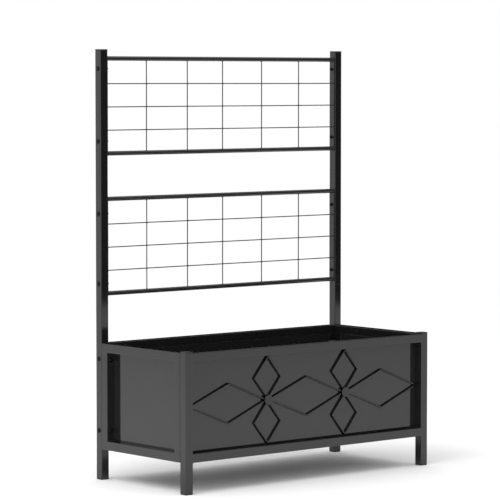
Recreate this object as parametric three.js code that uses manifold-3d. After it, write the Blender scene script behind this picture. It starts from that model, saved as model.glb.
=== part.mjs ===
// Planter with trellis: a sheet-metal planter box in a frame of square steel tube. The two back legs carry on
// upwards as posts, and two welded wire trellis panels are bolted between them.
//
// Millimetres, +Z up. The front faces -Y and +X is to the right. The origin is on the ground, under the middle.

import * as THREE from 'three';
import { mergeVertices, toCreasedNormals } from 'three/addons/utils/BufferGeometryUtils.js';
import Module from 'manifold-3d';

const wasm = await Module();
wasm.setup();

// ---------------------------------------------------------------------------------------------------------
// Driving dimensions

// the frame's outer size, over the tubes
const FRAME_LENGTH = 1143;
const FRAME_DEPTH = 505.5;
const POST_TOP = 1519;
const BOX_TOP = 486.75;
const BOX_BOTTOM = 109;

// square tube of the frame
const TUBE = 31.75;
const TUBE_WALL = 1.5;
const TUBE_CORNER = 2.25;
const TUBE_CORNER_STEPS = 2;

// gaps: between pieces that are welded or screwed face to face, and round what slides into a tube or a hole
const SEAM = 0.3;
const PLUG_CLEARANCE = 0.35;
const HOLE_CLEARANCE = 0.4;

// plastic feet and end caps
const FOOT_PLATE = 4;
const FOOT_EDGE = 1.25;
const FOOT_STEM = 22;
const CAP_EDGE = 0.9;
const CAP_OVERHANG = 0.5;
const CAP_STEM = 16;
const POST_CAP_PLATE = 5;
const LEG_CAP_PLATE = 4.25;
const STEM_BORE_WALL = 2.5;

// sheet panels, floor plate and the bars under it
const SHEET = 1.5;
const FLOOR_LIP = 16;
const FLOOR_BAR = 19;
const FLOOR_BAR_WALL = 1.5;
const FLOOR_BAR_CORNER = 2;
const FLOOR_BAR_X = 270;
const DRAIN_RADIUS = 5;
const DRAIN_SIDES = 12;
const DRAIN_COLUMNS = 6;
const DRAIN_PITCH = 160;
const DRAIN_ROW_Y = 105;
const FLOOR_NOTCH_CLEARANCE = 1;

// trellis panels
const STRAP_WIDTH = 25;
const STRAP_THICKNESS = 3;
const RAIL_RADIUS = 8;
const RAIL_WALL = 1.25;
const RAIL_SIDES = 24;
const RAIL_SPACING = 335;
const TOP_RAIL_DROP = 27;
const PANEL_GAP = 161;
const WIRE_RADIUS = 2;
const WIRE_SIDES = 10;
const WIRE_WELD_SINK = 0.4;
const WIRE_ROW_PITCH = 82;
const WIRE_ROWS = 3;
// how far each upright wire stands to the right of its even place between the straps
const WIRE_SHIFTS = [3, 12, -1, 8, 11.5];

// bolts
const BOLT_RADIUS = 3;
const BOLT_SIDES = 16;
const DOME_STEPS = 3;
const HOLE_SIDES = 12;
const BOLT_END = 9;
const WASHER_RADIUS = 9;
const WASHER_THICKNESS = 1.25;
const HEAD_RADIUS = 6.5;
const HEAD_HEIGHT = 3.5;
const SOCKET_RADIUS = 2.5;
const SOCKET_DEPTH = 1.75;
// the trellis bolts, measured down from a panel's upper rail and up from its lower rail
const UPPER_PANEL_BOLTS = { belowTopRail: 36, aboveBottomRail: 43 };
const LOWER_PANEL_BOLTS = { belowTopRail: 51.5, aboveBottomRail: 35.5 };
// the box bolts, measured down from the frame's top and up from its bottom
const BOX_BOLT_BELOW_TOP = 56.25;
const BOX_BOLT_ABOVE_BOTTOM = 67;

// ornament of flat bar on edge, on the front panel
const BAR_WIDTH = 5;
const BAR_DEPTH = 8;
const BAR_EDGE = 1.5;
const DISC_X = 182.5;
const DISC_RADIUS = 18.5;
const DISC_THICKNESS = 4;
const DISC_EDGE = 1;
const DISC_SIDES = 32;
const SMALL_DIAMOND_WIDTH = 128;
const LARGE_DIAMOND_HEIGHT = 144;

// ---------------------------------------------------------------------------------------------------------
// Places that follow from them

const halfLength = FRAME_LENGTH / 2;
const halfDepth = FRAME_DEPTH / 2;
const innerX = halfLength - TUBE;
const innerY = halfDepth - TUBE;
const postX = halfLength - TUBE / 2;
const postY = halfDepth - TUBE / 2;
const topRailZ = BOX_TOP - TUBE;
const bottomRailTop = BOX_BOTTOM + TUBE;
const floorTop = bottomRailTop;
const holeRadius = BOLT_RADIUS + HOLE_CLEARANCE;
const boxBoltHeights = [BOX_BOTTOM + BOX_BOLT_ABOVE_BOTTOM, BOX_TOP - BOX_BOLT_BELOW_TOP];

const upperTopRail = POST_TOP - TOP_RAIL_DROP;
const lowerTopRail = upperTopRail - RAIL_SPACING - PANEL_GAP;
const trellisPanels = [
  { name: 'upper', top: upperTopRail, bolts: UPPER_PANEL_BOLTS },
  { name: 'lower', top: lowerTopRail, bolts: LOWER_PANEL_BOLTS },
].map(({ name, top, bolts }) => {
  const bottom = top - RAIL_SPACING;
  return { name, top, bottom, boltHeights: [bottom + bolts.aboveBottomRail, top - bolts.belowTopRail] };
});
const trellisBoltHeights = trellisPanels.flatMap((panel) => panel.boltHeights);

const sides = [{ name: 'left', sign: -1 }, { name: 'right', sign: 1 }];
const faces = [{ name: 'front', sign: -1 }, { name: 'back', sign: 1 }];

// ---------------------------------------------------------------------------------------------------------
// Finishes

const finish = (color, roughness, metalness) => new THREE.MeshStandardMaterial({ color, roughness, metalness });
const frameCoat = finish(0x222222, 0.2, 0);
const panelCoat = finish(0x232323, 0.2, 0);
const trellisCoat = finish(0x1f1f1f, 0.2, 0);
const blackPlastic = finish(0x1d1e20, 0.6, 0);
const blackenedSteel = finish(0x2a2b2d, 0.35, 0.7);

// ---------------------------------------------------------------------------------------------------------
// Solids

const CREASE_ANGLE = Math.PI / 6;
const MERGE_DISTANCE = 1e-4;

const planter = new THREE.Group();

/** Adds one named piece to the planter, placed in the planter's own frame. */
function place(name, geometry, material, { x = 0, y = 0, z = 0 } = {}, turn = [0, 0, 0]) {
  const mesh = new THREE.Mesh(toCreasedNormals(geometry, CREASE_ANGLE), material.clone());
  mesh.name = name;
  mesh.position.set(x, y, z);
  mesh.rotation.set(...turn);
  planter.add(mesh);
  return mesh;
}

const ALONG_X = [0, Math.PI / 2, 0];
const ALONG_Y = [-Math.PI / 2, 0, 0];

/** A closed three.js geometry as a manifold solid. */
function solid(geometry) {
  const bare = geometry.clone();
  bare.deleteAttribute('normal');
  bare.deleteAttribute('uv');
  const merged = mergeVertices(bare, MERGE_DISTANCE);
  return new wasm.Manifold(new wasm.Mesh({
    numProp: 3,
    vertProperties: new Float32Array(merged.attributes.position.array),
    triVerts: new Uint32Array(merged.index.array),
  }));
}

/** A manifold solid as a three.js geometry. */
function meshOf(manifold) {
  const { vertProperties, triVerts } = manifold.getMesh();
  const geometry = new THREE.BufferGeometry();
  geometry.setAttribute('position', new THREE.BufferAttribute(vertProperties, 3));
  geometry.setIndex(new THREE.BufferAttribute(triVerts, 1));
  return geometry;
}

const cut = (body, tools) => meshOf(tools.reduce((left, tool) => left.subtract(solid(tool)), solid(body)));
const join = (pieces) => meshOf(pieces.map(solid).reduce((whole, piece) => whole.add(piece)));

/** A square outline with rounded corners, centred on the origin. */
function roundedSquare(size, radius) {
  const inset = size / 2 - radius;
  const shape = new THREE.Shape();
  shape.absarc(inset, inset, radius, 0, Math.PI / 2, false);
  shape.absarc(-inset, inset, radius, Math.PI / 2, Math.PI, false);
  shape.absarc(-inset, -inset, radius, Math.PI, 1.5 * Math.PI, false);
  shape.absarc(inset, -inset, radius, 1.5 * Math.PI, 2 * Math.PI, false);
  shape.closePath();
  return shape;
}

/** A square outline with sharp corners, wound the other way, for the inside of a tube. */
function squareHole(size) {
  const half = size / 2;
  return new THREE.Path([
    new THREE.Vector2(-half, -half),
    new THREE.Vector2(-half, half),
    new THREE.Vector2(half, half),
    new THREE.Vector2(half, -half),
  ]);
}

/** Square tube from z = 0 up to its length, open at both ends. */
function squareTube(length, size = TUBE, wall = TUBE_WALL, corner = TUBE_CORNER) {
  const outline = roundedSquare(size, corner);
  outline.holes.push(squareHole(size - 2 * wall));
  return new THREE.ExtrudeGeometry(outline, {
    depth: length,
    bevelEnabled: false,
    curveSegments: TUBE_CORNER_STEPS,
  });
}

/** A round rod of the given length along X, centred on a point. */
function rodX(radius, length, rodSides, { x = 0, y = 0, z = 0 } = {}) {
  return new THREE.CylinderGeometry(radius, radius, length, rodSides).rotateZ(Math.PI / 2).translate(x, y, z);
}

/** A round rod of the given length along Y, centred on a point. */
function rodY(radius, length, rodSides, { x = 0, y = 0, z = 0 } = {}) {
  return new THREE.CylinderGeometry(radius, radius, length, rodSides).translate(x, y, z);
}

const holeAcrossX = (z, size = TUBE) => rodX(holeRadius, 2 * size, HOLE_SIDES, { z });
const holeAcrossY = (z) => rodY(holeRadius, 2 * TUBE, HOLE_SIDES, { z });
/** A hole through one wall only, on the side that sign names. */
const holeInWallY = (z, sign) => rodY(holeRadius, TUBE, HOLE_SIDES, { y: sign * TUBE / 2, z });

// ---------------------------------------------------------------------------------------------------------
// Posts and front legs: one length of tube each, drilled for the bolts that hold the frames and the trellis

const tubeBottom = FOOT_PLATE + SEAM;
for (const { name, sign } of sides) {
  const postBoltHeights = [...trellisBoltHeights, ...boxBoltHeights];
  const acrossPost = postBoltHeights.map((height) => holeAcrossX(height - tubeBottom));
  const intoPost = boxBoltHeights.map((height) => holeInWallY(height - tubeBottom, -1));
  const post = cut(squareTube(POST_TOP - tubeBottom), [...acrossPost, ...intoPost]);
  place(`${name}_back_post`, post, frameCoat, { x: sign * postX, y: postY, z: tubeBottom });

  const intoLeg = boxBoltHeights.map((height) => holeInWallY(height - tubeBottom, 1));
  const leg = cut(squareTube(BOX_TOP - tubeBottom), intoLeg);
  place(`${name}_front_leg`, leg, frameCoat, { x: sign * postX, y: -postY, z: tubeBottom });
}

// ---------------------------------------------------------------------------------------------------------
// Plastic feet and caps: a plate as wide as the tube, with a hollow stem that pushes into it

/** A plate from z = 0 to its thickness, with a stem that goes on upwards from it. */
function plug(plateSize, thickness, edge, stemLength) {
  const plate = new THREE.ExtrudeGeometry(roundedSquare(plateSize, TUBE_CORNER + edge), {
    depth: thickness - 2 * edge,
    bevelThickness: edge,
    bevelSize: edge,
    bevelOffset: -edge,
    bevelSegments: 2,
    curveSegments: TUBE_CORNER_STEPS,
  }).translate(0, 0, edge);
  const stemSize = TUBE - 2 * TUBE_WALL - 2 * PLUG_CLEARANCE;
  const stem = new THREE.BoxGeometry(stemSize, stemSize, stemLength + edge)
    .translate(0, 0, thickness - edge + (stemLength + edge) / 2);
  const boreSize = stemSize - 2 * STEM_BORE_WALL;
  const bore = new THREE.BoxGeometry(boreSize, boreSize, stemLength)
    .translate(0, 0, thickness + edge + stemLength / 2);
  return cut(join([plate, stem]), [bore]);
}

const UPSIDE_DOWN = [Math.PI, 0, 0];
for (const side of sides) {
  for (const face of faces) {
    const foot = plug(TUBE, FOOT_PLATE, FOOT_EDGE, FOOT_STEM);
    const at = { x: side.sign * postX, y: face.sign * postY };
    place(`${side.name}_${face.name}_foot`, foot, blackPlastic, at);

    const onPost = face.name === 'back';
    const thickness = onPost ? POST_CAP_PLATE : LEG_CAP_PLATE;
    const tubeTop = onPost ? POST_TOP : BOX_TOP;
    const cap = plug(TUBE + 2 * CAP_OVERHANG, thickness, CAP_EDGE, CAP_STEM);
    place(`${side.name}_${onPost ? 'post' : 'leg'}_cap`, cap, blackPlastic,
      { ...at, z: tubeTop + SEAM + thickness }, UPSIDE_DOWN);
  }
}

// ---------------------------------------------------------------------------------------------------------
// Box frames: tube rails and stiles between the legs and posts

const railHeights = [{ name: 'top', z: topRailZ + TUBE / 2 }, { name: 'bottom', z: BOX_BOTTOM + TUBE / 2 }];
const longRail = 2 * (innerX - SEAM);
const endRail = 2 * (innerY - SEAM);
const stileHeight = topRailZ - bottomRailTop - 2 * SEAM;
const stileBottom = bottomRailTop + SEAM;

for (const face of faces) {
  for (const { name, z } of railHeights) {
    place(`${face.name}_${name}_rail`, squareTube(longRail), frameCoat,
      { x: -longRail / 2, y: face.sign * postY, z }, ALONG_X);
  }
}

for (const { name, sign } of sides) {
  const stileHoles = boxBoltHeights.map((height) => holeAcrossX(height - stileBottom));
  place(`back_frame_${name}_stile`, cut(squareTube(stileHeight), stileHoles), frameCoat,
    { x: sign * (innerX - SEAM - TUBE / 2), y: postY, z: stileBottom });

  for (const rail of railHeights) {
    place(`${name}_end_${rail.name}_rail`, squareTube(endRail), frameCoat,
      { x: sign * postX, y: -endRail / 2, z: rail.z }, ALONG_Y);
  }
  for (const face of faces) {
    const holes = boxBoltHeights.map((height) => holeAcrossY(height - stileBottom));
    place(`${name}_end_${face.name}_stile`, cut(squareTube(stileHeight), holes), frameCoat,
      { x: sign * postX, y: face.sign * (innerY - SEAM - TUBE / 2), z: stileBottom });
  }
}

// ---------------------------------------------------------------------------------------------------------
// Sheet panels: a flat sheet welded into each frame's opening, flush with the inner side of its tubes

const panelHeight = stileHeight;
const besideStiles = 2 * (TUBE + 2 * SEAM);
const longOpening = 2 * innerX;
const frontPanel = longOpening - 2 * SEAM;
const backPanel = longOpening - besideStiles;
const endPanel = 2 * innerY - besideStiles;
const sheetY = innerY + SHEET / 2;
const sheetX = innerX + SHEET / 2;

/** A panel along local X, centred, with its foot at z = 0. */
const panel = (length) => new THREE.BoxGeometry(length, SHEET, panelHeight).translate(0, 0, panelHeight / 2);

place('front_panel', panel(frontPanel), panelCoat, { y: -sheetY, z: stileBottom });
place('back_panel', panel(backPanel), panelCoat, { y: sheetY, z: stileBottom });
for (const { name, sign } of sides) {
  place(`${name}_end_panel`, panel(endPanel), panelCoat,
    { x: sign * sheetX, z: stileBottom }, [0, 0, Math.PI / 2]);
}

// ---------------------------------------------------------------------------------------------------------
// Floor: a drained plate level with the bottom rails, on two bars that run between the front and back rails.
// Its edges are folded down along the rails and notched round the bars.

const floorBarZ = floorTop - SHEET - SEAM - FLOOR_BAR / 2;

function floorPlate() {
  const length = 2 * (innerX - SEAM);
  const depth = 2 * (innerY - SEAM);
  const notchSize = FLOOR_BAR + 2 * FLOOR_NOTCH_CLEARANCE;
  const notches = sides.map(({ sign }) => new THREE.BoxGeometry(notchSize, 2 * depth, FLOOR_BAR)
    .translate(sign * FLOOR_BAR_X, 0, floorBarZ + SEAM - floorTop));
  const block = new THREE.BoxGeometry(length, depth, FLOOR_LIP).translate(0, 0, -FLOOR_LIP / 2);
  const hollow = new THREE.BoxGeometry(length - 2 * SHEET, depth - 2 * SHEET, FLOOR_LIP)
    .translate(0, 0, -FLOOR_LIP / 2 - SHEET);
  const throughSheet = 4 * SHEET;
  const drains = [];
  for (const rowY of [-DRAIN_ROW_Y, DRAIN_ROW_Y]) {
    for (let column = 0; column < DRAIN_COLUMNS; column += 1) {
      const x = (column - (DRAIN_COLUMNS - 1) / 2) * DRAIN_PITCH;
      drains.push(new THREE.CylinderGeometry(DRAIN_RADIUS, DRAIN_RADIUS, throughSheet, DRAIN_SIDES)
        .rotateX(Math.PI / 2).translate(x, rowY, 0));
    }
  }
  return cut(block, [hollow, ...notches, ...drains]);
}

place('floor_plate', floorPlate(), panelCoat, { z: floorTop });

for (const { name, sign } of sides) {
  place(`${name}_floor_bar`, squareTube(endRail, FLOOR_BAR, FLOOR_BAR_WALL, FLOOR_BAR_CORNER), frameCoat,
    { x: sign * FLOOR_BAR_X, y: -endRail / 2, z: floorBarZ }, ALONG_Y);
}

// ---------------------------------------------------------------------------------------------------------
// Trellis: two panels, each of two straps against the posts, two round rails and a grid of welded wires

const strapInnerX = innerX - SEAM - STRAP_THICKNESS;
const spanX = 2 * (strapInnerX - SEAM);

function strap({ top, bottom, boltHeights }) {
  const bar = new THREE.BoxGeometry(STRAP_THICKNESS, STRAP_WIDTH, top - bottom + 2 * RAIL_RADIUS)
    .translate(0, 0, (top + bottom) / 2);
  return cut(bar, boltHeights.map((height) => holeAcrossX(height, STRAP_THICKNESS)));
}

function railTube() {
  const ring = new THREE.Shape().absarc(0, 0, RAIL_RADIUS, 0, 2 * Math.PI, false);
  ring.holes.push(new THREE.Path().absarc(0, 0, RAIL_RADIUS - RAIL_WALL, 0, 2 * Math.PI, true));
  return new THREE.ExtrudeGeometry(ring, { depth: spanX, bevelEnabled: false, curveSegments: RAIL_SIDES / 2 });
}

/** The grid, with the uprights on the rails' own plane and the cross wires welded in front of them. */
function wireGrid({ top, bottom }) {
  const uprightLength = top - bottom - 2 * (RAIL_RADIUS + SEAM);
  const pitch = spanX / (WIRE_SHIFTS.length + 1);
  const uprights = WIRE_SHIFTS.map((shift, index) => {
    const x = -spanX / 2 + (index + 1) * pitch + shift;
    return new THREE.CylinderGeometry(WIRE_RADIUS, WIRE_RADIUS, uprightLength, WIRE_SIDES)
      .rotateX(Math.PI / 2).translate(x, 0, (top + bottom) / 2);
  });
  const crossY = -(2 * WIRE_RADIUS - WIRE_WELD_SINK);
  const crossWires = Array.from({ length: WIRE_ROWS }, (_, row) =>
    rodX(WIRE_RADIUS, spanX, WIRE_SIDES, { y: crossY, z: bottom + (row + 1) * WIRE_ROW_PITCH }));
  return join([...uprights, ...crossWires]);
}

for (const trellis of trellisPanels) {
  for (const { name, sign } of sides) {
    place(`${trellis.name}_trellis_${name}_strap`, strap(trellis), trellisCoat,
      { x: sign * (strapInnerX + STRAP_THICKNESS / 2), y: postY });
  }
  place(`${trellis.name}_trellis_top_rail`, railTube(), trellisCoat,
    { x: -spanX / 2, y: postY, z: trellis.top }, ALONG_X);
  place(`${trellis.name}_trellis_bottom_rail`, railTube(), trellisCoat,
    { x: -spanX / 2, y: postY, z: trellis.bottom }, ALONG_X);
  place(`${trellis.name}_trellis_wires`, wireGrid(trellis), trellisCoat, { y: postY });
}

// ---------------------------------------------------------------------------------------------------------
// Trellis bolts: button heads on a washer outside the posts, with the thread through post and strap

/** A bolt along local +Z with its washer's seat at z = 0, its head below and its shank above. */
function bolt() {
  const grip = TUBE + STRAP_THICKNESS + 2 * SEAM;
  const headSeat = -WASHER_THICKNESS;
  const rimAngle = Math.acos(SOCKET_RADIUS / HEAD_RADIUS);
  const headTop = headSeat - HEAD_HEIGHT * Math.sin(rimAngle);
  const dome = Array.from({ length: DOME_STEPS + 1 }, (_, step) => {
    const angle = rimAngle * (1 - step / DOME_STEPS);
    return [HEAD_RADIUS * Math.cos(angle), headSeat - HEAD_HEIGHT * Math.sin(angle)];
  });
  const profile = [
    [0, headTop + SOCKET_DEPTH],
    [SOCKET_RADIUS, headTop + SOCKET_DEPTH],
    ...dome,
    [WASHER_RADIUS, headSeat],
    [WASHER_RADIUS, 0],
    [BOLT_RADIUS, 0],
    [BOLT_RADIUS, grip + BOLT_END],
    [0, grip + BOLT_END],
  ];
  return new THREE.LatheGeometry(profile.map(([radius, z]) => new THREE.Vector2(radius, z)), BOLT_SIDES)
    .rotateX(Math.PI / 2);
}

for (const trellis of trellisPanels) {
  for (const { name, sign } of sides) {
    trellis.boltHeights.forEach((height, index) => {
      const level = index === 0 ? 'bottom' : 'top';
      place(`${trellis.name}_trellis_${name}_${level}_bolt`, bolt(), blackenedSteel,
        { x: sign * (halfLength + SEAM), y: postY, z: height }, [0, -sign * Math.PI / 2, 0]);
    });
  }
}

// ---------------------------------------------------------------------------------------------------------
// Ornament: diamonds of flat bar on edge against the front panel, and discs where they meet

const ornamentZ = (topRailZ + bottomRailTop) / 2;
const ornamentRear = -(innerY + SHEET + SEAM);
const openingHalf = (topRailZ - bottomRailTop) / 2;

/** A diamond ring of flat bar, bent round its outline, from y = 0 forwards to -BAR_DEPTH. */
function diamond(halfWidth, halfHeight) {
  const inward = 1 - BAR_WIDTH * Math.hypot(halfWidth, halfHeight) / (halfWidth * halfHeight);
  const corners = (scale) => [
    new THREE.Vector2(halfWidth * scale, 0),
    new THREE.Vector2(0, halfHeight * scale),
    new THREE.Vector2(-halfWidth * scale, 0),
    new THREE.Vector2(0, -halfHeight * scale),
  ];
  const outline = new THREE.Shape(corners(1));
  outline.holes.push(new THREE.Path(corners(inward).reverse()));
  return new THREE.ExtrudeGeometry(outline, {
    depth: BAR_DEPTH - 2 * BAR_EDGE,
    bevelThickness: BAR_EDGE,
    bevelSize: BAR_EDGE,
    bevelOffset: -BAR_EDGE,
    bevelSegments: 2,
  }).translate(0, 0, BAR_EDGE).rotateX(Math.PI / 2);
}

/** A disc with its front edge broken, from y = 0 forwards to -DISC_THICKNESS. */
function disc() {
  const profile = [
    [0, 0],
    [DISC_RADIUS, 0],
    [DISC_RADIUS, DISC_THICKNESS - DISC_EDGE],
    [DISC_RADIUS - DISC_EDGE, DISC_THICKNESS],
    [0, DISC_THICKNESS],
  ];
  return new THREE.LatheGeometry(profile.map(([radius, y]) => new THREE.Vector2(radius, y)), DISC_SIDES)
    .rotateX(Math.PI);
}

const largeHalfHeight = LARGE_DIAMOND_HEIGHT / 2;
const smallHalfHeight = openingHalf / 2 - SEAM;
place('middle_diamond', diamond(DISC_X - SEAM, largeHalfHeight), frameCoat,
  { y: ornamentRear, z: ornamentZ });
for (const { name, sign } of sides) {
  const outerHalfWidth = (innerX - DISC_X) / 2 - SEAM;
  place(`${name}_diamond`, diamond(outerHalfWidth, largeHalfHeight), frameCoat,
    { x: sign * (innerX + DISC_X) / 2, y: ornamentRear, z: ornamentZ });
  for (const [level, up] of [['upper', 1], ['lower', -1]]) {
    place(`${name}_${level}_diamond`, diamond(SMALL_DIAMOND_WIDTH / 2, smallHalfHeight), frameCoat,
      { x: sign * DISC_X, y: ornamentRear, z: ornamentZ + up * openingHalf / 2 });
  }
  place(`${name}_disc`, disc(), frameCoat,
    { x: sign * DISC_X, y: ornamentRear - BAR_DEPTH - SEAM, z: ornamentZ });
}

export default planter;
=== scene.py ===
import math

import bpy
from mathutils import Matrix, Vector


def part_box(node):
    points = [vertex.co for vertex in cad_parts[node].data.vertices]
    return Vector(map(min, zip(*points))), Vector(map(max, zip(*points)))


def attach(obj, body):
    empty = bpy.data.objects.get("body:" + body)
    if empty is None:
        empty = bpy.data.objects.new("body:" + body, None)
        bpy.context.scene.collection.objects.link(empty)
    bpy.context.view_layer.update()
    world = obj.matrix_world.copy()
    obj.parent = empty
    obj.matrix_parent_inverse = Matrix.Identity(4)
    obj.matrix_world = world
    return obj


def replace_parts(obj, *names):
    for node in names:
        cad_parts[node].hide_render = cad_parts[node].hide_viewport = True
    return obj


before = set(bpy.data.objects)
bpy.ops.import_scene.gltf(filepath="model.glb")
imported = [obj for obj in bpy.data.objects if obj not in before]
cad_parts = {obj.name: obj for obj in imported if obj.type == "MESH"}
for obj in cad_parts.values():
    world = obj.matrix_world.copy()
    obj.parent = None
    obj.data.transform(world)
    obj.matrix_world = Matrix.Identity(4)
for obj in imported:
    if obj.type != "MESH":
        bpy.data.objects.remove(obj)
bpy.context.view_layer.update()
MM = 0.001

# ---------------------------------------------------------------------------------------------------------
# Viewpoint. A long lens a little below the posts' tops, in front of the planter and well to its left. The
# picture is square, so the sensor's width is its height too.

LENS = 195.0
SENSOR = 36.0
STANDPOINT = (-6.3393, -7.3896, 1.4209)
TURN_RIGHT = math.radians(40.31)
LOOK_DOWN = math.radians(3.621)

lens = bpy.data.cameras.new("viewpoint")
lens.lens = LENS
lens.sensor_width = SENSOR
viewpoint = bpy.data.objects.new("viewpoint", lens)
viewpoint.location = STANDPOINT
viewpoint.rotation_euler = (math.pi / 2 - LOOK_DOWN, 0.0, -TURN_RIGHT)
bpy.context.scene.collection.objects.link(viewpoint)
bpy.context.scene.camera = viewpoint
bpy.context.scene.view_settings.view_transform = "Standard"

# ---------------------------------------------------------------------------------------------------------
# Studio. A white paper floor that runs out past the horizon, a white room, one soft lamp overhead from the
# left, and black cards in front to the right and behind. The cards show in reflections alone: they darken the
# trellis, the posts' fronts and the rails' tops.


class Channel:
    """A socket in a finish's recipe. Arithmetic on it adds the Math nodes that work the result out."""

    def __init__(self, recipe, socket):
        self.recipe = recipe
        self.socket = socket

    def maths(self, operation, *terms):
        return self.recipe.node("Math", {"operation": operation}, dict(enumerate(terms)))

    def __add__(self, other):
        return self.maths("ADD", self, other)

    def __sub__(self, other):
        return self.maths("SUBTRACT", self, other)

    def __rsub__(self, other):
        return self.maths("SUBTRACT", other, self)

    def __mul__(self, other):
        return self.maths("MULTIPLY", self, other)

    __radd__ = __add__
    __rmul__ = __mul__

    def larger(self, other):
        return self.maths("MAXIMUM", self, other)

    def rise(self, start, end):
        """0 up to the start, 1 from the end on, and a soft step between them."""
        settings = {"interpolation_type": "SMOOTHSTEP"}
        return self.recipe.node("MapRange", settings, {"Value": self, "From Min": start, "From Max": end})


class Recipe:
    """The node tree of one finish, lamp or room."""

    def __init__(self, holder):
        holder.use_nodes = True
        self.tree = holder.node_tree
        self.tree.nodes.clear()

    def node(self, kind, settings, inputs, output=0):
        """Adds a node with its settings, fills its sockets by name or number, and gives one of its outputs."""
        added = self.tree.nodes.new("ShaderNode" + kind)
        for setting, value in settings.items():
            setattr(added, setting, value)
        for socket, value in inputs.items():
            if isinstance(value, Channel):
                self.tree.links.new(value.socket, added.inputs[socket])
            else:
                added.inputs[socket].default_value = value
        return Channel(self, added.outputs[output]) if added.outputs else None

    def blend(self, share, plain, other):
        """Fades from one colour to another as the share goes from 0 to 1."""
        return self.node("Mix", {"data_type": "RGBA"}, {0: share, 6: plain, 7: other}, 2)

    def seen(self):
        """1 for what the camera sees straight, mirrored or through glass, and 0 for the light itself."""
        ways = [self.node("LightPath", {}, {}, way)
                for way in ("Is Camera Ray", "Is Glossy Ray", "Is Transmission Ray")]
        return ways[0].larger(ways[1]).larger(ways[2])


def grey(level):
    return (level, level, level, 1.0)


ROOM_LIGHT = 1.0
room = bpy.data.worlds.new("white room")
bpy.context.scene.world = room
recipe = Recipe(room)
walls = recipe.node("Background", {}, {"Color": grey(1.0), "Strength": ROOM_LIGHT})
recipe.node("OutputWorld", {}, {"Surface": walls})


def sheet_of(name, width, height):
    """A flat card, upright on its lower edge."""
    corners = [(-width / 2, 0, 0), (width / 2, 0, 0), (width / 2, 0, height), (-width / 2, 0, height)]
    card = bpy.data.meshes.new(name)
    card.from_pydata(corners, [], [(0, 1, 2, 3)])
    placed = bpy.data.objects.new(name, card)
    bpy.context.scene.collection.objects.link(placed)
    return placed


FLOOR_SIZE = 120.0
FLOOR_PAPER = 0.8
floor = sheet_of("floor", FLOOR_SIZE, FLOOR_SIZE)
floor.location = (0.0, FLOOR_SIZE / 2, 0.0)
floor.rotation_euler = (math.pi / 2, 0.0, 0.0)
paper = bpy.data.materials.new("white paper")
recipe = Recipe(paper)
tone = recipe.blend(recipe.seen(), grey(FLOOR_PAPER), grey(1.0))
matt = recipe.node("BsdfDiffuse", {}, {"Color": tone})
recipe.node("OutputMaterial", {}, {"Surface": matt})
floor.data.materials.append(paper)

CARD_AWAY = 3.0
CARD_WIDTH = 3.2
CARD_HEIGHT = 2.6
CARD_FOOT = 0.33
CARD_SHADE = 0.005
felt = bpy.data.materials.new("black felt")
recipe = Recipe(felt)
matt = recipe.node("BsdfDiffuse", {}, {"Color": grey(CARD_SHADE)})
recipe.node("OutputMaterial", {}, {"Surface": matt})
for name, forward in (("card in front", -1), ("card behind", 1)):
    card = sheet_of(name, CARD_WIDTH, CARD_HEIGHT)
    card.location = (CARD_AWAY * math.sin(TURN_RIGHT), forward * CARD_AWAY * math.cos(TURN_RIGHT), CARD_FOOT)
    card.rotation_euler = (0.0, 0.0, -forward * TURN_RIGHT)
    card.visible_camera = card.visible_diffuse = card.visible_shadow = False
    card.data.materials.append(felt)

LAMP_POWER = 60.0
LAMP_SIZE = 2.5
LAMP_PLACE = Vector((-2.6, -0.6, 3.6))
LAMP_AIM = Vector((0.0, 0.0, 0.6))
soft_box = bpy.data.lights.new("soft box", "AREA")
soft_box.energy = LAMP_POWER
soft_box.size = LAMP_SIZE
lamp = bpy.data.objects.new("soft box", soft_box)
lamp.location = LAMP_PLACE
lamp.rotation_euler = (LAMP_AIM - LAMP_PLACE).to_track_quat("-Z", "Y").to_euler()
bpy.context.scene.collection.objects.link(lamp)

# ---------------------------------------------------------------------------------------------------------
# Tubes. The legs, posts, rails and stiles are 1 1/4 inch square steel tube, sawn to length, drilled for the
# bolts and powder coated in charcoal. The coat is a little clouded and thinner along the corners.

POWDER_IOR = 1.55
CLOUDED = 0.12
DUST_SHADE = 0.1
DUST_COVER = 0.1
WORN_SHADE = 0.09


def powder_coat(name, shade, sheen, peel, rubbed):
    """Baked-on powder: a shade, its gloss as a roughness, the depth of its orange peel and how far it rubs."""
    finish = bpy.data.materials.new(name)
    recipe = Recipe(finish)
    place = recipe.node("TexCoord", {}, {}, "Object")
    outward = recipe.node("TexCoord", {}, {}, "Normal")
    facing = recipe.node("VectorMath", {"operation": "ABSOLUTE"}, {0: outward})
    x, y, z = (recipe.node("SeparateXYZ", {}, {"Vector": facing}, axis) for axis in "XYZ")
    corner = (1.0 - x.larger(y).larger(z)).rise(0.06, 0.26)

    clouds = recipe.node("TexNoise", {}, {"Vector": place, "Scale": 6.0, "Detail": 3.0})
    scuffs = recipe.node("TexNoise", {}, {"Vector": place, "Scale": 55.0, "Detail": 5.0, "Roughness": 0.7})
    grains = recipe.node("TexNoise", {}, {"Vector": place, "Scale": 420.0, "Detail": 1.0})
    worn = corner * scuffs.rise(0.5, 0.72) * rubbed
    dust = scuffs.rise(0.45, 0.8) * clouds.rise(0.4, 0.7)

    tone = recipe.blend(clouds, grey(shade * (1 - CLOUDED)), grey(shade * (1 + CLOUDED)))
    tone = recipe.blend(dust * DUST_COVER, tone, grey(DUST_SHADE))
    tone = recipe.blend(worn, tone, grey(WORN_SHADE))
    bumps = recipe.node("Bump", {}, {"Strength": 1.0, "Distance": peel, "Height": grains})
    coat = recipe.node("BsdfPrincipled", {}, {
        "Base Color": tone,
        "Roughness": sheen + 0.03 * clouds + 0.05 * dust + 0.1 * worn,
        "IOR": POWDER_IOR,
        "Normal": bumps,
    })
    recipe.node("OutputMaterial", {}, {"Surface": coat})
    return finish


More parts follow.
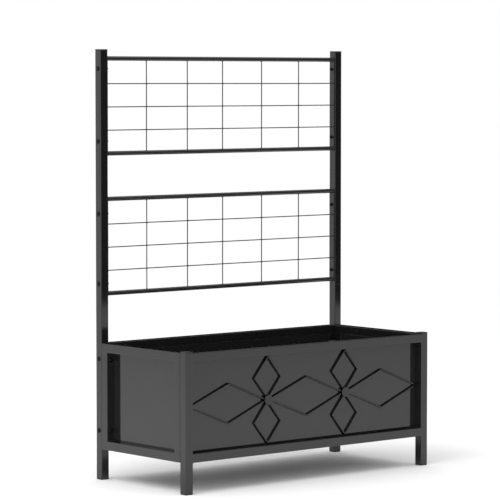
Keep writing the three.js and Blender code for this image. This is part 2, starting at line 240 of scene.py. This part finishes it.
SMOOTH_BELOW = math.radians(36)
EDGE_STEPS = 3


def dress(node, finish, edge=0.0):
    """Gives a solid of the frame its finish, joins its faces into one skin and breaks its sharp edges."""
    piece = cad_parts[node]
    piece.data.materials.clear()
    piece.data.materials.append(finish)
    piece.data.shade_smooth()
    skin = piece.modifiers.new("one skin", "WELD")
    skin.merge_threshold = 0.002 * MM
    if edge:
        broken = piece.modifiers.new("broken edges", "BEVEL")
        broken.width = edge
        broken.segments = EDGE_STEPS
        broken.limit_method = "ANGLE"
        broken.angle_limit = SMOOTH_BELOW
    creases = piece.modifiers.new("creases", "EDGE_SPLIT")
    creases.split_angle = SMOOTH_BELOW
    piece.modifiers.new("flat faces", "WEIGHTED_NORMAL")
    return piece


frame_coat = powder_coat("frame coat", shade=0.010, sheen=0.06, peel=0.008 * MM, rubbed=0.2)
tubes = [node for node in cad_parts
         if node.endswith(("_post", "_leg", "_rail", "_stile", "_floor_bar")) and "trellis" not in node]
for node in tubes:
    dress(node, frame_coat)

# ---------------------------------------------------------------------------------------------------------
# Frame welds. Each frame's tubes are joined by arc welds all round: a rippled fillet where a tube stands on
# another one's side, and a bead ground almost flush where their faces are level. They are coated with the
# frame.

leg_low, leg_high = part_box("left_front_leg")
TUBE = leg_high.x - leg_low.x
TUBE_CORNER = 2.25 * MM
FILLET = 2.2 * MM
FLUSH_WIDTH = 2.4 * MM
FLUSH_RISE = 0.12 * MM
RIPPLE_PITCH = 2.6 * MM
RIPPLE_DEPTH = 0.1
RIPPLE_STEPS = 4
CORNER_STEPS = 4
OVAL_SIDES = 10

X, Y, Z = Vector((1, 0, 0)), Vector((0, 1, 0)), Vector((0, 0, 1))


def skin(rings, closed=False):
    """Faces between rings of equally many points, with the two ends filled unless it is closed."""
    count = len(rings[0])
    faces = []
    for here in range(len(rings) if closed else len(rings) - 1):
        there = (here + 1) % len(rings)
        for point in range(count):
            beside = (point + 1) % count
            faces.append((here * count + point, here * count + beside,
                          there * count + beside, there * count + point))
    if not closed:
        faces.append(tuple(reversed(range(count))))
        faces.append(tuple(range((len(rings) - 1) * count, len(rings) * count)))
    return [point for ring in rings for point in ring], faces


def add_piece(name, parts, finish, seat=Vector(), into=Z):
    """Makes one piece of the planter from parts, each a list of points and the faces between them, and seats
    it with its own upward direction pointing the given way."""
    points, faces = [], []
    for part_points, part_faces in parts:
        first = len(points)
        points.extend(part_points)
        faces.extend([first + corner for corner in face] for face in part_faces)
    mesh = bpy.data.meshes.new(name)
    mesh.from_pydata(points, [], faces)
    mesh.shade_smooth()
    mesh.set_sharp_from_angle(angle=SMOOTH_BELOW)
    mesh.materials.append(finish)
    piece = bpy.data.objects.new(name, mesh)
    piece.location = seat
    piece.rotation_euler = Z.rotation_difference(into).to_euler()
    bpy.context.scene.collection.objects.link(piece)
    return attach(piece, "root")


def oval(middle, across, width, out, height):
    """A bead's section: an oval with its half width across the joint and its height out of the metal."""
    turns = [2 * math.pi * side / OVAL_SIDES for side in range(OVAL_SIDES)]
    return [middle + across * (width * math.cos(turn)) + out * (height * math.sin(turn)) for turn in turns]


def across_axis(axis):
    """The two directions square to an axis, in right-handed order."""
    return {0: (Y, Z), 1: (Z, X), 2: (X, Y)}[max(range(3), key=lambda way: abs(axis[way]))]


def weld_round(centre, axis, size, fillets, throat=FILLET):
    """The weld round a square tube's end, with a fillet on the sides that the given directions name."""
    first, second = across_axis(axis)
    flat = size / 2 - TUBE_CORNER
    steps = round(2 * flat / (RIPPLE_PITCH / RIPPLE_STEPS))
    rings, run = [], 0.0
    for quarter in range(4):
        start = quarter * math.pi / 2
        out = first * math.cos(start) + second * math.sin(start)
        along = axis.cross(out)
        side = [(out, out * (size / 2) + along * (flat * (2 * step / steps - 1))) for step in range(steps)]
        for bend in range(CORNER_STEPS):
            angle = start + math.pi / 2 * bend / CORNER_STEPS
            turned = first * math.cos(angle) + second * math.sin(angle)
            side.append((turned, (out + along) * flat + turned * TUBE_CORNER))
        for out_here, offset in side:
            full = sum(max(0.0, out_here.dot(way)) ** 2 for way in fillets)
            ripple = 1 + RIPPLE_DEPTH * full * math.cos(2 * math.pi * run / RIPPLE_PITCH)
            width = (FLUSH_WIDTH + (throat - FLUSH_WIDTH) * full) * ripple
            height = (FLUSH_RISE + (throat - FLUSH_RISE) * full) * ripple
            rings.append(oval(centre + offset, axis, width, out_here, height))
            run += RIPPLE_PITCH / RIPPLE_STEPS
    return skin(rings, closed=True)


def middle_of(node):
    low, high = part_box(node)
    return (low + high) / 2


front_welds = []
for node, fillets in (("front_top_rail", [-Z]), ("front_bottom_rail", [-Z, Z])):
    low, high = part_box(node)
    for x in (low.x, high.x):
        front_welds.append(weld_round(Vector((x, middle_of(node).y, middle_of(node).z)), X, TUBE, fillets))
add_piece("front_frame_welds", front_welds, frame_coat)

for frame_name, stiles, inward in (
    ("left_end", ("left_end_front_stile", "left_end_back_stile"), (Y, -Y)),
    ("right_end", ("right_end_front_stile", "right_end_back_stile"), (Y, -Y)),
    ("back", ("back_frame_left_stile", "back_frame_right_stile"), (X, -X)),
):
    welds = []
    for node, fillet in zip(stiles, inward):
        low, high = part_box(node)
        for z in (low.z, high.z):
            welds.append(weld_round(Vector((middle_of(node).x, middle_of(node).y, z)), Z, TUBE, [fillet]))
    add_piece(f"{frame_name}_frame_welds", welds, frame_coat)

BAR_FILLET = 0.9 * MM
bar_welds = []
for node in ("left_floor_bar", "right_floor_bar"):
    low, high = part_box(node)
    for y in (low.y, high.y):
        centre = Vector((middle_of(node).x, y, middle_of(node).z))
        bar_welds.append(weld_round(centre, Y, high.x - low.x, [X, -X, Z, -Z], BAR_FILLET))
add_piece("floor_bar_welds", bar_welds, frame_coat)

# ---------------------------------------------------------------------------------------------------------
# Feet and end caps. Moulded black plastic, with a fine spark-eroded grain. Each has a stem that is pushed into
# a tube's end, and a plate that covers it.

PALER = 1.6

def moulded_plastic(name, shade, sheen):
    finish = bpy.data.materials.new(name)
    recipe = Recipe(finish)
    place = recipe.node("TexCoord", {}, {}, "Object")
    grain = recipe.node("TexNoise", {}, {"Vector": place, "Scale": 900.0, "Detail": 2.0})
    rubbing = recipe.node("TexNoise", {}, {"Vector": place, "Scale": 80.0, "Detail": 4.0})
    pale = rubbing.rise(0.5, 0.8)
    tone = recipe.blend(pale, grey(shade), grey(shade * PALER))
    bumps = recipe.node("Bump", {}, {"Strength": 1.0, "Distance": 0.03 * MM, "Height": grain})
    body = recipe.node("BsdfPrincipled", {}, {
        "Base Color": tone, "Roughness": sheen + 0.12 * pale + 0.05 * grain, "Normal": bumps})
    recipe.node("OutputMaterial", {}, {"Surface": body})
    return finish


black_plastic = moulded_plastic("black plastic", shade=0.014, sheen=0.45)
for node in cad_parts:
    if node.endswith(("_foot", "_cap")):
        dress(node, black_plastic)

# ---------------------------------------------------------------------------------------------------------
# Panels and floor. 1.5 mm steel sheet, cut flat for the box's sides and folded down round the floor's edges,
# in the same charcoal coat.

panel_coat = powder_coat("panel coat", shade=0.013, sheen=0.06, peel=0.004 * MM, rubbed=0.0)
FOLD = 0.45 * MM
panels = ("front_panel", "back_panel", "left_end_panel", "right_end_panel")
for node in (*panels, "floor_plate"):
    dress(node, panel_coat, edge=FOLD)

# ---------------------------------------------------------------------------------------------------------
# Panel stitches. Each sheet lies in its frame's opening, level with the tubes' inner sides. Short fillet welds
# inside the box hold its edges to them, and a thin bead of sealer closes the joint between the welds.

STITCH = 18 * MM
STITCH_WIDTH = 2.2 * MM
STITCH_RISE = 0.5 * MM
STITCH_PITCH = 150 * MM
STITCH_END = 0.03
SEALER_WIDTH = 0.9 * MM
SEALER_RISE = 0.25 * MM
SEAM = 0.3 * MM


def stitch(middle, along, out):
    """A short, low weld bead with tapered ends, centred on a joint and laid along it."""
    steps = round(STITCH / (RIPPLE_PITCH / RIPPLE_STEPS))
    rings = []
    for step in range(steps + 1):
        share = step / steps
        taper = math.sqrt(max(0.0, 1 - (2 * share - 1) ** 4)) * (1 - STITCH_END) + STITCH_END
        swell = taper * (1 + RIPPLE_DEPTH * math.cos(2 * math.pi * step / RIPPLE_STEPS))
        centre = middle + along * (STITCH * (share - 0.5))
        rings.append(oval(centre, along.cross(out), STITCH_WIDTH * swell, out, STITCH_RISE * swell))
    return skin(rings)


for node, inward in zip(panels, (Y, -Y, X, -X)):
    low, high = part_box(node)
    centre = (low + high) / 2
    run = X if inward.y else Y
    size = high - low
    face = centre + inward * (abs(inward.dot(size)) / 2)
    stitches = []
    for along, across in ((run, Z), (Z, run)):
        length, reach = along.dot(size), across.dot(size) / 2
        count = round(length / STITCH_PITCH)
        for outward in (across, -across):
            joint = face + outward * (reach + SEAM / 2)
            stitches.extend(stitch(joint + along * (length * ((place + 0.5) / count - 0.5)), along, inward)
                            for place in range(count))
            ends = (joint - along * (length / 2 + SEAM), joint + along * (length / 2 + SEAM))
            stitches.append(skin([oval(end, along.cross(inward), SEALER_WIDTH, inward, SEALER_RISE)
                                  for end in ends]))
    add_piece(f"{node}_stitches", stitches, panel_coat)

# ---------------------------------------------------------------------------------------------------------
# Ornament. Flat bar on edge, bent into diamonds and tacked tip to tip against the front sheet, with a turned
# steel disc over each place where four tips meet.

# Painted shade: this copy of the charcoal coat is painted far darker than the frame's and the panels', so that
# the bars' side walls read as deeply shaded. The discs and the tacks share it.
ornament_coat_with_painted_shade = powder_coat("ornament coat with painted shade", shade=0.004, sheen=0.05, peel=0.004 * MM, rubbed=0.0)
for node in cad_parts:
    if node.endswith("_diamond"):
        dress(node, ornament_coat_with_painted_shade)
DISC_EDGE = 0.5 * MM
for node in ("left_disc", "right_disc"):
    dress(node, ornament_coat_with_painted_shade, edge=DISC_EDGE)

TACK_RADIUS = 2.4 * MM
TACK_RISE = 1.2 * MM
TACK_SIDES = 14
TACK_STEPS = 8
LATHE_SIDES = 24
DISC_TACK_RADIUS = 4 * MM
DISC_TACK_RISE = 0.9 * MM
DISC_TACK_OUT = 5 * MM


def turned_shape(profile, start, axis, sides=LATHE_SIDES):
    """A shape turned round an axis: pairs of a radius and how far along the axis it comes."""
    first, second = across_axis(axis)
    if axis.dot(first.cross(second)) < 0:
        first, second = second, first
    angles = [2 * math.pi * side / sides for side in range(sides)]
    return skin([[start + axis * along + (first * math.cos(angle) + second * math.sin(angle)) * radius
                  for angle in angles] for radius, along in profile])


def tack(seat, out, radius=TACK_RADIUS, rise=TACK_RISE):
    """A tack weld: a low lump of metal, sunk a little into what it joins."""
    angles = [math.pi * (step / TACK_STEPS - 0.49) for step in range(TACK_STEPS + 1)]
    lump = [(radius * math.cos(angle), rise * math.sin(angle)) for angle in angles]
    return turned_shape(lump, seat, out, sides=TACK_SIDES)


tacks = []
ornament_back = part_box("middle_diamond")[1].y
ornament_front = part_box("middle_diamond")[0].y
ornament_middle = (ornament_back + ornament_front) / 2
for side, leg_face in (("left", X), ("right", -X)):
    low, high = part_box(f"{side}_diamond")
    tip = low.x if side == "left" else high.x
    tacks.append(tack(Vector((tip, ornament_middle, (low.z + high.z) / 2)), leg_face))
    disc = middle_of(f"{side}_disc")
    for node, up in ((f"{side}_upper_diamond", Z), (f"{side}_lower_diamond", -Z)):
        low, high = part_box(node)
        tip = high.z if up == Z else low.z
        tacks.append(tack(Vector((disc.x, ornament_middle, tip)), -up))
    for way in (X, -X, Z, -Z):
        behind = disc + Y * (ornament_back - disc.y) + way * DISC_TACK_OUT
        tacks.append(tack(behind, Y, DISC_TACK_RADIUS, DISC_TACK_RISE))
# The tacks take the ornament's darkened coat, which is painted shade.
add_piece("ornament_tacks", tacks, ornament_coat_with_painted_shade)

# ---------------------------------------------------------------------------------------------------------
# Trellis rails and straps. Each panel has two rails of round steel tube between two flat straps, welded all
# round their ends and coated in the frame's charcoal.

trellis_coat = powder_coat("trellis coat", shade=0.012, sheen=0.08, peel=0.008 * MM, rubbed=0.0)
STRAP_EDGE = 0.6 * MM
RING_THROAT = 1.3 * MM
SUNK = 0.9
for panel in ("upper", "lower"):
    ring_welds = []
    for side in ("left", "right"):
        dress(f"{panel}_trellis_{side}_strap", trellis_coat, edge=STRAP_EDGE)
    for rail in ("top", "bottom"):
        node = f"{panel}_trellis_{rail}_rail"
        dress(node, trellis_coat)
        low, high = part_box(node)
        radius = (high.z - low.z) / 2
        for x, inward in ((low.x, X), (high.x, -X)):
            profile = [(radius * SUNK, 0.0), (radius + RING_THROAT, 0.0),
                       (radius + RING_THROAT * 0.6, RING_THROAT * 0.6),
                       (radius, RING_THROAT * 1.3), (radius * SUNK, RING_THROAT * 1.3)]
            seat = Vector((x, middle_of(node).y, middle_of(node).z)) - inward * SEAM
            ring_welds.append(turned_shape(profile, seat, inward))
    add_piece(f"{panel}_trellis_rail_welds", ring_welds, trellis_coat)

# ---------------------------------------------------------------------------------------------------------
# Trellis wires. Drawn steel wire, cut and resistance welded into a grid: the uprights stand between the
# rails, and the cross wires lie in front of them and end on the straps.

WIRE_SIDES = 16
WIRE_BOW = 0.25 * MM
WELD_SPREAD = 1.25
END_SPREAD = 1.5
END_RISE = 1.1
WIRES_APART = 10 * MM
CUT_END = 0.1 * MM


def clusters(values, gap):
    """The middle of each group of values that lie closer together than the gap."""
    ordered = sorted(values)
    groups = [[ordered[0]]]
    for value in ordered[1:]:
        if value - groups[-1][-1] > gap:
            groups.append([])
        groups[-1].append(value)
    return [(group[0] + group[-1]) / 2 for group in groups]


def wire(start, end, radius, welds):
    """A straight length of wire, very slightly bowed, and pressed wider where it is welded to another."""
    axis = (end - start).normalized()
    first, second = across_axis(axis)
    length = (end - start).length
    stations = {0.0, length}
    for weld in welds:
        stations.update({weld - 2 * radius, weld - radius, weld, weld + radius, weld + 2 * radius})
    rings = []
    for run in sorted(run for run in stations if 0 <= run <= length):
        near = max([0.0, *(1 - abs(run - weld) / (2 * radius) for weld in welds)])
        spread = radius * (1 + (WELD_SPREAD - 1) * near)
        middle = start + axis * run + second * (WIRE_BOW * math.sin(2 * math.pi * run / length))
        rings.append([middle + (first * math.cos(angle) + second * math.sin(angle)) * spread
                      for angle in (2 * math.pi * side / WIRE_SIDES for side in range(WIRE_SIDES))])
    return skin(rings)


for panel in ("upper", "lower"):
    node = f"{panel}_trellis_wires"
    low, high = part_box(node)
    corners = [vertex.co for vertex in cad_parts[node].data.vertices]
    feet = [corner.x for corner in corners if corner.z < low.z + CUT_END]
    upright_x = clusters(feet, WIRES_APART)
    cross_z = clusters([corner.z for corner in corners if corner.x < low.x + CUT_END], WIRES_APART)
    first_foot = [x for x in feet if x < upright_x[0] + WIRES_APART]
    radius = (max(first_foot) - min(first_foot)) / 2
    rail_y = middle_of(f"{panel}_trellis_top_rail").y
    cross_y = low.y + radius
    grid = []
    for x in upright_x:
        grid.append(wire(Vector((x, rail_y, low.z)), Vector((x, rail_y, high.z)), radius,
                         [z - low.z for z in cross_z]))
        for end, up in ((low.z, Z), (high.z, -Z)):
            grid.append(tack(Vector((x, rail_y, end)), up, radius * END_SPREAD, radius * END_RISE))
    for z in cross_z:
        grid.append(wire(Vector((low.x, cross_y, z)), Vector((high.x, cross_y, z)), radius,
                         [x - low.x for x in upright_x]))
        for end, inward in ((low.x, X), (high.x, -X)):
            grid.append(tack(Vector((end, cross_y, z)), inward, radius * END_SPREAD, radius * END_RISE))
    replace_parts(add_piece(f"{panel}_trellis_wire_grid", grid, trellis_coat), node)

# ---------------------------------------------------------------------------------------------------------
# Bolts and nuts. Blackened M6 button-head socket bolts, each on a washer, with flanged nuts. Two a side hold
# each trellis panel to the posts. Two a side join the back frame to the posts, and the end frames are bolted
# to the posts and legs through their stiles.

BLACKENED = 0.012
RUBBED = 0.03


def blackened_steel(name):
    """Blackened steel with a fine grain, rubbed paler in random blotches."""
    finish = bpy.data.materials.new(name)
    recipe = Recipe(finish)
    place = recipe.node("TexCoord", {}, {}, "Object")
    blotches = recipe.node("TexNoise", {}, {"Vector": place, "Scale": 300.0, "Detail": 4.0})
    fine = recipe.node("TexNoise", {}, {"Vector": place, "Scale": 2200.0, "Detail": 2.0})
    rubbed = blotches.rise(0.52, 0.75)
    tone = recipe.blend(rubbed, grey(BLACKENED), grey(RUBBED))
    bumps = recipe.node("Bump", {}, {"Strength": 1.0, "Distance": 0.02 * MM, "Height": fine})
    steel = recipe.node("BsdfPrincipled", {}, {
        "Base Color": tone,
        "Metallic": 0.8 + 0.15 * rubbed,
        "Roughness": 0.3 + 0.2 * blotches,
        "Normal": bumps,
    })
    recipe.node("OutputMaterial", {}, {"Surface": steel})
    return finish


SHANK = 3.0 * MM
THREAD_DEPTH = 0.45 * MM
THREAD_PITCH = 1.0 * MM
THREAD_LENGTH = 16 * MM
WASHER = 9.0 * MM
WASHER_THICKNESS = 1.25 * MM
HEAD = 6.5 * MM
HEAD_RISE = 3.5 * MM
KEY_ACROSS = 4.0 * MM
KEY_DEPTH = 1.9 * MM
KEY_RIM = 0.62 * KEY_ACROSS
DOME_STEPS = 8
NUT_ACROSS = 10.0 * MM
NUT_HEIGHT = 6.0 * MM
NUT_FLANGE = 7.0 * MM
NUT_FLANGE_THICKNESS = 1.3 * MM
BOLT_SIDES = 36
THREAD_STEPS = 4


def ring_at(along, radius_at):
    """A ring round local Z, with its radius worked out for each angle."""
    angles = [2 * math.pi * side / BOLT_SIDES for side in range(BOLT_SIDES)]
    return [Vector((radius_at(a) * math.cos(a), radius_at(a) * math.sin(a), along)) for a in angles]


def hexagon(across):
    """A radius for each angle that traces a hexagon of the given size across its flats."""
    return lambda angle: across / 2 / math.cos((angle + math.pi / 6) % (math.pi / 3) - math.pi / 6)


def circle(radius):
    return lambda angle: radius


def bolt(grip, end):
    """A bolt on its washer. The washer's seat is at z = 0, with the head below it and the shank above."""
    seat = -WASHER_THICKNESS
    rim = math.acos(KEY_RIM / HEAD)
    top = seat - HEAD_RISE * math.sin(rim)
    rings = [ring_at(top + KEY_DEPTH * 1.15, circle(0.1 * MM)),
             ring_at(top + KEY_DEPTH, hexagon(KEY_ACROSS)),
             ring_at(top + 0.15 * MM, hexagon(KEY_ACROSS)),
             ring_at(top, circle(KEY_RIM))]
    for step in range(1, DOME_STEPS):
        angle = rim * (1 - step / DOME_STEPS)
        rings.append(ring_at(seat - HEAD_RISE * math.sin(angle), circle(HEAD * math.cos(angle))))
    rings += [ring_at(seat - 0.25 * MM, circle(HEAD)), ring_at(seat, circle(HEAD - 0.2 * MM)),
              ring_at(seat, circle(WASHER - 0.3 * MM)), ring_at(seat + 0.3 * MM, circle(WASHER)),
              ring_at(-0.2 * MM, circle(WASHER)), ring_at(0.0, circle(WASHER - 0.2 * MM)),
              ring_at(0.0, circle(SHANK))]
    tip = grip + end
    thread_start = tip - THREAD_LENGTH
    steps = round(THREAD_LENGTH / (THREAD_PITCH / THREAD_STEPS))
    for step in range(steps):
        along = thread_start + step * THREAD_PITCH / THREAD_STEPS
        fade = min(1.0, step / (2 * THREAD_STEPS), (steps - step) / THREAD_STEPS)

        def groove(angle, along=along, fade=fade):
            wave = abs((along / THREAD_PITCH - angle / (2 * math.pi)) % 1.0 * 2 - 1)
            return SHANK - THREAD_DEPTH * fade * wave

        rings.append(ring_at(along, groove))
    rings += [ring_at(tip - 0.4 * MM, circle(SHANK - 0.1 * MM)), ring_at(tip, circle(SHANK - 0.6 * MM))]
    return skin(rings)


def nut(grip):
    """A flanged hexagon nut on a bolt's shank, seated where the bolt's grip ends."""
    flats = hexagon(NUT_ACROSS)

    def chamfered(angle):
        return min(flats(angle), NUT_ACROSS * 0.53)

    top = grip + NUT_HEIGHT
    return skin([
        ring_at(grip, circle(SHANK)),
        ring_at(grip, circle(NUT_FLANGE)),
        ring_at(grip + NUT_FLANGE_THICKNESS * 0.6, circle(NUT_FLANGE)),
        ring_at(grip + NUT_FLANGE_THICKNESS * 1.3, circle(NUT_ACROSS * 0.6)),
        ring_at(grip + NUT_FLANGE_THICKNESS * 1.5, flats),
        ring_at(top - 0.7 * MM, flats),
        ring_at(top, chamfered),
        ring_at(top, circle(SHANK * 1.15)),
        ring_at(top - 0.5 * MM, circle(SHANK)),
    ], closed=True)


bolt_steel = blackened_steel("blackened steel")


def fasten(name, seat, into, grip, end, with_nut):
    """Puts a bolt at its seat, pointing into the metal, with its nut where the grip ends."""
    if with_nut:
        add_piece(f"{name}_nut", [nut(grip)], bolt_steel, seat, into)
    return add_piece(f"{name}_bolt", [bolt(grip, end)], bolt_steel, seat, into)


END_BEYOND_STRAP = 9 * MM
strap_low, strap_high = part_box("upper_trellis_left_strap")
trellis_grip = TUBE + (strap_high.x - strap_low.x) + 2 * SEAM
for panel in ("upper", "lower"):
    for side, inward in (("left", X), ("right", -X)):
        for level in ("bottom", "top"):
            node = f"{panel}_trellis_{side}_{level}_bolt"
            low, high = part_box(node)
            outer = leg_low.x - SEAM if side == "left" else -leg_low.x + SEAM
            seat = Vector((outer, (low.y + high.y) / 2, (low.z + high.z) / 2))
            placed = fasten(f"{panel}_trellis_{side}_{level}_socket", seat, inward, trellis_grip,
                            END_BEYOND_STRAP, with_nut=True)
            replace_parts(placed, node)

# The box's own bolts sit at the same two heights on every corner.
BOLT_BELOW_TOP = 56.25 * MM
BOLT_ABOVE_BOTTOM = 67 * MM
END_BEYOND_NUT = 4 * MM
END_IN_LEG = 8 * MM
box_foot, box_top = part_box("front_bottom_rail")[0].z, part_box("front_top_rail")[1].z
pair_grip = 2 * TUBE + SEAM
for side, inward in (("left", X), ("right", -X)):
    post = middle_of(f"{side}_back_post")
    for level, z in (("lower", box_foot + BOLT_ABOVE_BOTTOM), ("upper", box_top - BOLT_BELOW_TOP)):
        across = Vector((post.x, post.y, z)) - inward * (TUBE / 2 + SEAM)
        fasten(f"{side}_{level}_post", across, inward, pair_grip + SEAM,
               NUT_HEIGHT + END_BEYOND_NUT, with_nut=True)
        stile = middle_of(f"{side}_end_back_stile")
        into_post = Vector((stile.x, stile.y - TUBE / 2 - SEAM, z))
        fasten(f"{side}_{level}_back_stile", into_post, Y, TUBE, END_IN_LEG, with_nut=False)
        stile = middle_of(f"{side}_end_front_stile")
        into_leg = Vector((stile.x, stile.y + TUBE / 2 + SEAM, z))
        fasten(f"{side}_{level}_front_stile", into_leg, -Y, TUBE, END_IN_LEG, with_nut=False)
